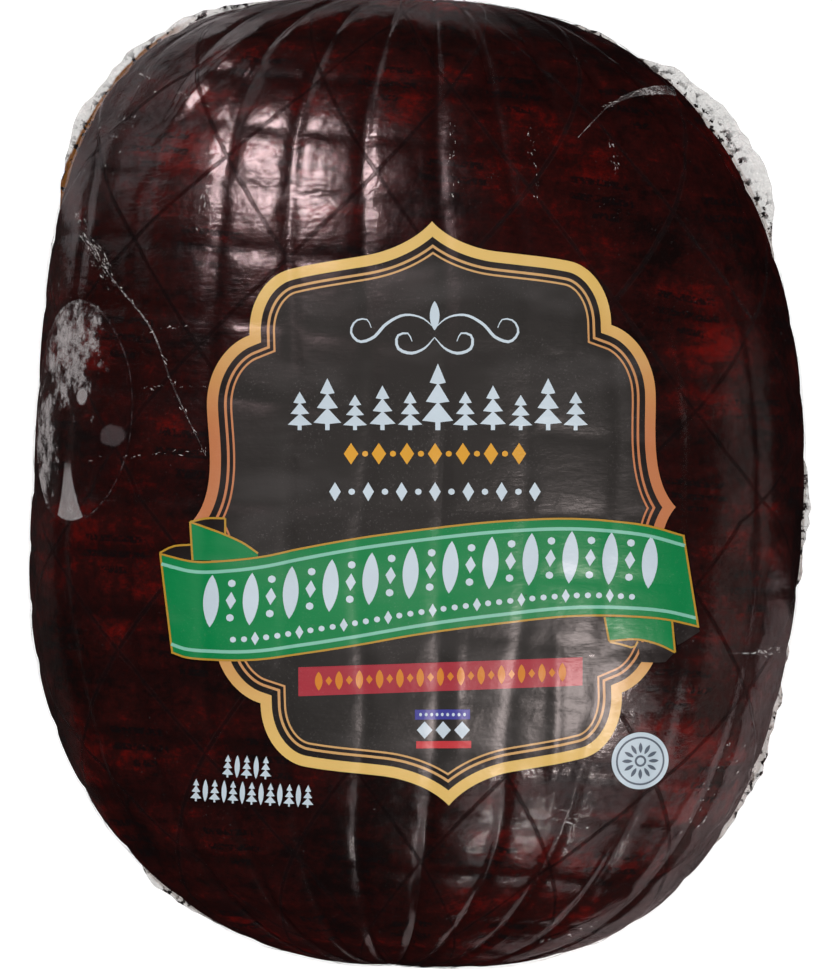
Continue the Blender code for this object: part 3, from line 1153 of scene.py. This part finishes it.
def makeWhiteOrnaments(target):
    sheets = []
    for line in (ornaments["scroll"], ornaments["innerScroll"]):
        for side in (1, -1):
            mirrored = np.asarray(line) * (side, 1)
            sheets.append(strokeOf(mirrored, ornaments["scrollWidth"], "white", taperedShape))
    chosen = {"fir": []}
    width, height = ornaments["firSize"]
    for i, (x, foot) in enumerate(rowOf(*ornaments["firs"])):
        scale = ornaments["firScales"][abs(i - ornaments["firs"][-1] // 2)]
        tall = height * scale
        chosen["fir"].append((x, foot + tall / 2, width * (0.55 + 0.45 * scale), tall, 0.0))
    place, shape = ornaments["bud"]
    takeTurns(chosen, [place], [shape])
    for row, shapes in ornaments["white"]:
        takeTurns(chosen, rowOf(*row), shapes)
    for name in ("garland", "pearls"):
        *stretch, shapes = ornaments[name]
        takeTurns(chosen, alongRibbon(*stretch), shapes)
    *stretch, shapes = ornaments["garland"]
    lean = shapes[1][-1]
    away, wide = ornaments["garlandDots"]
    for x, y in alongRibbon(*stretch)[1::2]:
        chosen["dot"] += [(x - lean * rise, y + rise, wide, wide, 0.0) for rise in (-away, away)]
    sheets += allCopies(chosen, "white")
    return laidDown(sheets, "white_ornaments", target, label["ornamentLift"])


def makeColouredBars(target):
    sheets = [
        fieldOf(ornaments["redBar"], ornaments["redBarFoot"], "redBar", *ornaments["redBarGrid"]),
        strokeOf(ornaments["blueStrip"], ornaments["blueStripHeight"], "blue"),
        strokeOf(ornaments["redStrip"], ornaments["redStripHeight"], "redStrip"),
    ]
    return laidDown(sheets, "coloured_bars", target, label["ribbonLift"])


def makeWarmOrnaments(target):
    sheets = []
    for ink in ("yellow", "orange"):
        for row, shapes in ornaments[ink]:
            chosen = {}
            takeTurns(chosen, rowOf(*row), shapes)
            sheets += allCopies(chosen, ink)
    return laidDown(sheets, "warm_ornaments", target, label["ornamentLift"])


badge = {
    "centre": (51.9, -62.3),
    "radius": 7.3,
    "plateRows": 7,
    "rings": ((0.79, 0.85, 48), (0.13, 0.20, 24)),     # from and to a share of the radius, columns
    "petals": 12,
    "petalPlace": 0.46,        # shares of the radius
    "petalLength": 0.36,
    "petalWidth": 0.9,
}


def makeBadge(target):
    (x, y), radius = badge["centre"], badge["radius"]

    def ring(inner, outer, columns, rows, ink):
        def place(s, t):
            reach = blended(t, outer, inner) * radius * mm
            return x * mm + reach * np.cos(tau * s), y * mm + reach * np.sin(tau * s)
        return evenSheet(columns, rows, place, ink)

    plate = ring(0.0, 1.0, badge["rings"][0][-1], badge["plateRows"], "white")
    laidDown([plate], "badge", target, label["ribbonLift"])
    marks = [ring(*one, 1, "slate") for one in badge["rings"]]
    petals = []
    for i in range(badge["petals"]):
        turn = tau * i / badge["petals"]
        reach = badge["petalPlace"] * radius
        size = badge["petalWidth"], badge["petalLength"] * radius
        petals.append((x - reach * math.sin(turn), y + reach * math.cos(turn), *size, turn))
    marks += copiesOf("leaf", "slate", petals)
    return laidDown(marks, "badge_marks", target, label["ornamentLift"])


# the bag's sealed edge, a crumpled clear fringe a little below the pack's widest level
edge = {
    "columns": 620,
    "rows": 10,
    "level": 33.0 * mm,
    "thickness": 0.6 * mm,
    "root": 7.0 * mm,
    "wave": 1.3 * mm,
    "crumple": 0.7 * mm,
    "crumpleNoise": (210, 6, 22),
    "fineCrumpleNoise": (420, 10, 23),
    "ragged": 0.9 * mm,
    "raggedNoise": (310, 0, 21),
    # each stretch that stands clear: direction from +X, spread, reach past the outline
    "ears": (
        (127.0, 17.0, 5.6 * mm),
        (98.0, 14.0, 2.4 * mm),
        (74.0, 8.0, 1.2 * mm),
        (51.5, 14.5, 7.4 * mm),
        (0.0, 12.0, 2.6 * mm),
        (-38.0, 22.0, 1.8 * mm),
        (-118.0, 9.0, 2.0 * mm),
    ),
    "hidden": -1.5 * mm,
    "pale": sRgb(252, 250, 247),
    # painted shade: the grey of the fringe where its crumples dip
    "grey": sRgb(226, 221, 216),
    # dark specks, and painted shade along the crinkles
    "speckAndCreaseShade": sRgb(26, 22, 22),
    "tan": sRgb(146, 92, 40),
    "tanPlace": ((-83, 91, 33), 24, 46),     # in millimetres: the place, where the tan starts and ends
}


def edgeReach(angle):
    reach = np.full_like(angle, edge["hidden"])
    for direction, spread, clear in edge["ears"]:
        off = (np.degrees(angle) - direction + 180) % 360 - 180
        reach += (clear - edge["hidden"]) * np.exp(-((off / (0.9 * spread)) ** 4))
    return reach + 0.5 * mm * np.sin(17 * angle) + 0.35 * mm * np.sin(41 * angle + 1.0)


def outlinePoints(angle, reach):
    upper = np.sin(angle) > 0
    power = outlinePower(np.where(np.cos(angle) > 0, 1.0, -1.0), np.where(upper, 1.0, -1.0))
    x = np.cos(angle) / np.where(np.cos(angle) > 0, form["rightReach"], form["leftReach"])
    y = np.sin(angle) / np.where(upper, form["topReach"], form["footReach"])
    radius = (np.abs(x) ** power + np.abs(y) ** power) ** (-1 / power) + reach
    return leaned(radius * np.cos(angle), radius * np.sin(angle))


# its map's second axis is how far past the pack's outline a place lies, in millimetres
def edgeSurface(at):
    beyond = at.mapped("edge").parts()[1]
    crumple = at.noise(230.0, 3.0, 0.65)
    fine = at.noise(480.0, 2.0, 0.6)
    # painted shade: thin dark lines along the fringe's crinkles
    paintedCreaseShade = abs(at.noise(150.0, 2.0, 0.5, 0.6) - 0.5).fade(0.003, 0.016)
    nearRoot = beyond.fade(2.8, 6.4)
    seam = (beyond + crumple * 0.8).fade(1.9, 2.4)
    tanned = at.near(*edge["tanPlace"]) * (beyond + crumple * 1.6).fade(3.9, 4.7)
    tanned = tanned.orMore(seam * 0.5)
    # painted shade: grey where the crumples dip and pale on their crests
    colour = mixed(crumple.ramp(0.30, 0.55), edge["grey"], edge["pale"])
    colour = mixed(tanned, colour, edge["tan"])
    patches = at.noise(60.0, 1.0).ramp(0.30, 0.46)
    marks = fine.ramp(0.53, 0.59) * patches * (nearRoot * 0.8 + 0.2)
    marks = marks.orMore(paintedCreaseShade * fine.ramp(0.42, 0.54) * (nearRoot * 0.4 + 0.4) * patches)
    colour = mixed(marks, colour, edge["speckAndCreaseShade"])
    alpha = (0.16 + crumple * 0.6).held().orMore(marks).orMore(tanned)
    return principled(at, colour, 0.22, Alpha=alpha, Normal=bumped(at, crumple + fine * 0.3, 1.2 * mm, 0.9))


def makeEdge():
    piece, column, t = makeGrid("sealed_edge", edge["columns"], edge["rows"])
    s = column % 1
    angle = tau * s
    ragged = edge["ragged"] * (softNoise(s, t, edge["raggedNoise"]) - 0.5)
    reach = blended(t, -edge["root"], edgeReach(angle) + ragged)
    x, y = outlinePoints(angle, reach)
    corners = cornersOf(piece.data)
    fillMap(piece.data, "edge", column[corners], reach[corners] / mm)
    wave = edge["wave"] * (np.sin(11 * angle) + 0.6 * np.sin(23 * angle + 2.0))
    crumple = softNoise(s, t, edge["crumpleNoise"]) + 0.6 * softNoise(s, t, edge["fineCrumpleNoise"]) - 0.8
    z = edge["level"] + wave * t + edge["crumple"] * crumple * t
    setCoordinates(piece.data, np.stack([x, y, z], -1) + form["shift"])
    merge(piece, 0.01 * mm, outwards=True)
    thicken(piece, edge["thickness"], 0.0)
    return finished(piece, newMaterial("crumpled clear edge", edgeSurface))


# the clear oval label on the left flank, pressed on from outside
sticker = {
    "length": 57.4 * mm,
    "width": 39.0 * mm,
    "centre": np.array([-83.1 * mm, 24.5 * mm, 78.9 * mm]) + form["shift"],
    "facesUp": math.radians(43.5),
    "standOff": 36.0 * mm,
    "lift": 0.7 * mm,
    "thickness": 0.15 * mm,
    "rings": 26,
    "sides": 120,
    "milk": sRgb(188, 180, 180),
    "grey": sRgb(112, 100, 102),
    # milk under the label: how the map is stretched, the place, where that milk starts and ends
    "upperMilk": ((0.8, 1.0, 1.0), (-0.10, 0.56, 0.0), 0.1, 0.85),
    "lowerMilk": ((1.0, 0.6, 1.0), (-0.68, -0.18, 0.0), 0.1, 0.62),
    # two drops: each one's place, half width, half height and thickness
    "drops": (((0.16, 0.14), 0.10, 0.075, 0.44), ((0.70, -0.21), 0.20, 0.10, 0.20)),
}


# the label's own map runs from -1 to 1, across towards the dome and along towards the pack's top
def stickerSurface(at):
    flat = at.mapped("oval")
    across, along, _ = flat.parts()
    reach = (across * across + along * along) ** 0.5
    broad = flat.noise(2.4, 3.0, 0.6)
    fine = flat.scaled(0.8, 0.7, 1.0).noise(14.0, 6.0, 0.8)
    cloud = flat.scaled(0.7, 0.7, 1.0).noise(5.5, 9.0, 0.74)
    upper, lower = (
        flat.scaled(*stretch).near(place, start, end, unit=1.0)
        for stretch, place, start, end in (sticker["upperMilk"], sticker["lowerMilk"])
    )
    milk = (cloud * 2.4 + upper.orMore(lower * 0.92) * 0.60).ramp(1.46, 1.96)
    shown = milk * (0.30 + fine.ramp(0.38, 0.60) * 0.70) * 0.80
    for place, wide, tall, thick in sticker["drops"]:
        off = (((across - place[0]) / wide) ** 2.0 + ((along - place[1]) / tall) ** 2.0) ** 0.5
        shown = shown.orMore((off + fine * 0.7).fade(1.10, 1.55) * thick)
    down = (along * -1.0 - 0.40) * (1 / 0.53)
    wedgeSide = abs(across + 0.10 - down * down * 0.075) - (down * down * 0.195 + 0.06)
    wedge = wedgeSide.fade(0.0, 0.04) * along.fade(-0.60, -0.36) * reach.fade(0.95, 0.97)
    arc = (across + along * 0.6).ramp(-0.6, 0.1) * (0.30 + fine.ramp(0.44, 0.58) * 0.70)
    rim = reach.ramp(0.966, 0.976) * reach.fade(0.984, 0.994) * arc
    shown = shown.orMore(wedge * (0.04 + cloud * 0.66)).orMore(rim * 0.20)
    colour = mixed((across - 0.4).ramp(0.0, 0.1), sticker["milk"], sticker["grey"])
    values = {"Metallic": shown.fade(0.03, 0.2), "Alpha": shown.orMore(film["clearSheen"])}
    return principled(at, colour, 0.24, Normal=bumped(at, fine + broad * 2.0, 0.3 * mm, 0.6), **values)


def makeSticker(target):
    piece, turn, reach = makeGrid("date_sticker", sticker["sides"], sticker["rings"])
    across, along = reach * np.cos(tau * turn), reach * np.sin(tau * turn)
    corners = cornersOf(piece.data)
    fillMap(piece.data, "oval", across[corners], along[corners])
    # the pack's +Y is the sheet's own -X once it faces outwards
    flat = np.stack([-along * sticker["length"] / 2, across * sticker["width"] / 2, 0 * along], -1)
    setCoordinates(piece.data, flat)
    merge(piece, 0.01 * mm)
    if sum(face.normal.z for face in piece.data.polygons) < 0:
        piece.data.flip_normals()
    facing = Vector((-math.cos(sticker["facesUp"]), 0.0, math.sin(sticker["facesUp"])))
    piece.location = Vector(sticker["centre"]) + facing * sticker["standOff"]
    piece.rotation_euler = facing.to_track_quat("Z", "Y").to_euler()
    press(piece, target, sticker["lift"])
    thicken(piece, sticker["thickness"], 1.0)
    placeInMesh(piece)
    finished(piece, newMaterial("clear label", stickerSurface))
    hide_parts("date_label")
    piece.visible_shadow = False
    return piece


# folds that stand up from the film, their lines in millimetres from the form's own middle
folds = {
    # each fold's points, width, height and outline
    "lines": (
        (((-84.0, 71.0), (-79.8, 64.2), (-75.7, 58.3), (-65.4, 45.1), (-60.2, 31.6), (-51.5, 13.3)),
         0.42, 0.40, taperedShape),
        (((49.0, 101.5), (55.0, 105.0), (61.5, 107.0), (68.0, 107.6)), 3.0, 0.8, flaredShape),
        (((50.0, 102.2), (46.0, 98.0), (42.0, 93.6)), 0.35, 0.2, taperedShape),
        (((80.0, -36.6), (87.0, -36.9), (94.0, -37.0)), 0.35, 0.2, taperedShape),
    ),
    "rows": 4,
    # where slivers of film catch the light: points, how many, spread, length, width
    "glints": (
        (((-86.0, 75.0), (-82.0, 68.0), (-77.1, 60.9)), 30, 0.9, 1.5, 0.16),
        (((-83.0, 68.0), (-80.0, 63.5), (-76.5, 58.5)), 40, 1.3, 2.4, 0.20),
        (((-75.7, 58.3), (-65.4, 45.1), (-60.2, 31.6), (-51.5, 13.3)), 22, 0.3, 1.4, 0.22),
        (((-70.0, 45.2), (-55.0, 45.8)), 12, 0.4, 0.9, 0.16),
        (((-69.0, 30.5), (-52.0, 30.8)), 12, 0.3, 0.9, 0.16),
        (((-81.0, 13.0), (-49.0, 14.5)), 22, 0.3, 1.0, 0.15),
        (((66.0, 107.5), (57.0, 105.7), (49.0, 102.0)), 16, 0.5, 2.2, 0.16),
        (((10.0, 97.0), (10.3, 77.0)), 24, 0.6, 0.8, 0.18),
        (((29.5, 96.0), (32.5, 74.0)), 18, 0.5, 0.8, 0.18),
        (((50.0, 93.0), (52.0, 84.0)), 16, 0.4, 0.9, 0.18),
        (((86.0, -36.6), (94.5, -37.0)), 18, 0.5, 1.2, 0.20),
        (((-71.0, 112.0), (-50.0, 101.0)), 16, 0.2, 1.2, 0.18),
        (((-49.7, 93.0), (-53.8, 69.0)), 16, 0.4, 1.3, 0.16),
        (((-80.0, 90.0), (-62.0, 110.0)), 22, 2.6, 0.8, 0.2),
        (((70.0, -80.0), (84.0, -62.0)), 24, 3.0, 0.8, 0.18),
        (((25.0, -79.0), (45.0, -78.0)), 20, 1.0, 1.6, 0.2),
        (((33.0, -111.0), (47.0, -106.0)), 14, 1.8, 0.9, 0.18),
    ),
    "foldLift": 0.15 * mm,
    "glintLift": 0.3 * mm,
    "seed": 31,
    # whitish creased film, its broken pale marks partly painted glints
    "pale": sRgb(206, 198, 198),
    "glint": sRgb(238, 228, 226),
}


# whitish creased film along the folds; its broken pale marks are partly painted glints
def foldSurface(at):
    broken = at.scaled(0.5, 1.3, 1.0).noise(600.0, 4.0, 0.75)
    stretches = at.noise(90.0, 1.0).ramp(0.38, 0.58)
    alpha = ((0.04 + broken.ramp(0.44, 0.60) * 0.50) * stretches).orMore(film["clearSheen"])
    return principled(at, folds["pale"], 0.2, Alpha=alpha, Normal=bumped(at, broken, 0.6 * mm, 0.8))


def glintSurface(at):
    alpha = at.noise(1700.0, 3.0, 0.7).ramp(0.47, 0.58) * at.noise(300.0, 1.0).ramp(0.30, 0.56) * 0.75
    return principled(at, folds["glint"], 0.3, Alpha=alpha)


# points of the form's own middle, counted from the label's instead
def fromLabel(points):
    return np.asarray(points) + (form["shift"][:2] - label["middle"]) / mm


# notes on a strip how far each of its points will stand up, most along its middle row
def raisedStrip(strip, rows, height):
    count = len(strip.data.vertices)
    columns = count // (rows + 1)
    rise = strip.data.attributes.new("rise", "FLOAT", "POINT")
    row, column = np.divmod(np.arange(count), columns)
    bulge = np.sin(math.pi * row / rows) * np.sin(math.pi * column / (columns - 1)) ** 0.5
    rise.data.foreach_set("value", (height * bulge).astype(np.float32))
    return strip


def makeFolds(target):
    strips = []
    for points, width, height, profile in folds["lines"]:
        strip = strokeOf(fromLabel(points), width, "white", profile, rows=folds["rows"])
        strips.append(raisedStrip(strip, folds["rows"], height * mm))
    piece = laidDown(strips, "film_folds", target, folds["foldLift"], newMaterial("film fold", foldSurface))
    piece.visible_shadow = False
    return piece


# places strewn along a line for the glints, each turned roughly the line's way
def strewn(random, points, count, spread, length, width):
    share = np.sort(random.random(count))
    ahead = headings(points, share, 0.01)
    turns = np.arctan2(ahead[:, 1], ahead[:, 0]) - tau / 4 + random.normal(0, 0.3, count)
    spots = throughPoints(points, share) + random.normal(0, spread, (count, 2))
    sizes = random.uniform(0.35, 1.5, (count, 2)) * (width, length)
    return [(x, y, wide, tall, turn) for (x, y), (wide, tall), turn in zip(spots, sizes, turns)]


def makeGlints(target):
    random = np.random.default_rng(folds["seed"])
    places = []
    for points, *numbers in folds["glints"]:
        places += strewn(random, fromLabel(points), *numbers)
    slivers = copiesOf("sliver", "white", places)
    piece = laidDown(slivers, "film_glints", target, folds["glintLift"], newMaterial("glint", glintSurface))
    piece.visible_shadow = False
    return piece


# the camera looks straight down, and every light is a softbox; only some of them show in the gloss
stand = {
    "aim": (1.2 * mm, 5.48 * mm),     # what the middle of the picture looks at, from the form's middle
    "distance": 1.5,
    "lens": 206.0,
    "sensor": 36.0,
    "floorSize": 9.0,
    "floorLevel": -0.3 * mm,
    "floor": sRgb(250, 250, 249),
    "floorGlow": 0.6,                # the pale sweep is lit from below too, so it stays white
    "worldLight": 0.012,
    # name, place, target, size, power, colour: the sky lights the matt surfaces, the others the gloss
    "sky": ("sky", (0.0, 0.0, 2.4), (0, 0, 0), (3.0, 3.0), 66.0, (1, 1, 1)),
    "softboxes": (
        ("key", (-0.52, 0.80, 1.28), (0, 0.02, 0.05), (0.29, 0.35), 7.9, (1.0, 0.71, 0.73)),
        ("fill", (0.58, -0.53, 1.38), (0, 0, 0.05), (0.34, 0.42), 9.6, (1.0, 0.85, 0.82)),
        ("wide fill", (0.75, -1.00, 1.00), (0, 0, 0.05), (1.1, 1.1), 3.0, (1.0, 0.84, 0.84)),
        ("low fill", (0.44, -1.22, 1.04), (0, 0, 0.05), (0.18, 0.18), 0.9, (1.0, 0.88, 0.86)),
        ("veil", (-1.00, 1.00, 0.42), (0, 0, 0.05), (0.9, 0.8), 1.10, (1.0, 0.88, 0.90)),
        ("wide veil", (-1.05, 0.95, 0.30), (0, 0, 0.05), (1.3, 0.9), 1.2, (1.0, 0.88, 0.90)),
        ("right", (0.50, -0.15, 0.13), (0, -0.05, 0.05), (0.8, 0.25), 0.20, (1.0, 0.88, 0.84)),
        ("table left", (-0.20, 0.21, 0.002), (-0.20, 0.21, 1), (0.26, 0.26), 0.26, (1.0, 0.88, 0.90)),
        ("table top", (-0.02, 0.24, 0.003), (-0.02, 0.24, 1), (0.20, 0.20), 0.11, (1.0, 0.90, 0.92)),
        ("table side", (-0.20, -0.02, 0.003), (-0.20, -0.02, 1), (0.19, 0.19), 0.012, (1.0, 0.90, 0.86)),
        ("table right", (0.18, -0.19, 0.002), (0.18, -0.19, 1), (0.30, 0.30), 0.36, (1.0, 0.78, 0.78)),
    ),
}


def addSoftbox(name, place, target, size, power, colour, inGloss=True):
    light = bpy.data.lights.new(name, "AREA")
    light.shape = "RECTANGLE"
    light.size, light.size_y = size
    light.energy = power
    light.color = colour
    lamp = bpy.data.objects.new(name, light)
    bpy.context.scene.collection.objects.link(lamp)
    lamp.location = place
    lamp.rotation_euler = (Vector(target) - lamp.location).to_track_quat("-Z", "Y").to_euler()
    lamp.visible_camera = False
    lamp.visible_glossy = inGloss
    lamp.visible_diffuse = not inGloss


def floorSurface(at):
    shaded = tuple(0.985 * part for part in stand["floor"])
    colour = mixed(at.noise(3.0, 2.0), stand["floor"], shaded)
    glow = {"Emission_Color": (1.0, 1.0, 1.0, 1.0), "Emission_Strength": stand["floorGlow"]}
    return principled(at, colour, 0.7, **glow)


def makeStudio():
    scene = bpy.context.scene
    camera = bpy.data.objects.new("camera", bpy.data.cameras.new("camera"))
    scene.collection.objects.link(camera)
    camera.data.lens = stand["lens"]
    camera.data.sensor_width = stand["sensor"]
    camera.location = (*(np.array(stand["aim"]) + form["shift"][:2]), stand["distance"])
    scene.camera = camera

    deselect()
    bpy.ops.mesh.primitive_plane_add(size=stand["floorSize"], location=(0, 0, stand["floorLevel"]))
    floor = bpy.context.object
    floor.name = "floor"
    floor.data.materials.append(newMaterial("pale floor", floorSurface))
    floor.visible_glossy = False

    addSoftbox(*stand["sky"], inGloss=False)
    for softbox in stand["softboxes"]:
        addSoftbox(*softbox)

    world = bpy.data.worlds.new("studio")
    world.use_nodes = True
    scene.world = world
    background = world.node_tree.nodes["Background"]
    background.inputs["Color"].default_value = (1, 1, 1, 1)
    background.inputs["Strength"].default_value = stand["worldLight"]
    scene.view_settings.view_transform = "Standard"


makeHam()
print("ham made")
filmPiece = makeFilm()
print("film made")
makeInks()
makeFrame(filmPiece)
print("label frame made")
makeRibbon(filmPiece)
makeRibbonTrim(filmPiece)
print("ribbon made")
makeColouredBars(filmPiece)
makeWarmOrnaments(filmPiece)
makeWhiteOrnaments(filmPiece)
makeBadge(filmPiece)
print("ornaments made")
makeEdge()
print("sealed edge made")
makeSticker(filmPiece)
print("date label made")
makeFolds(filmPiece)
makeGlints(filmPiece)
print("folds made")
makeStudio()
print("studio made")
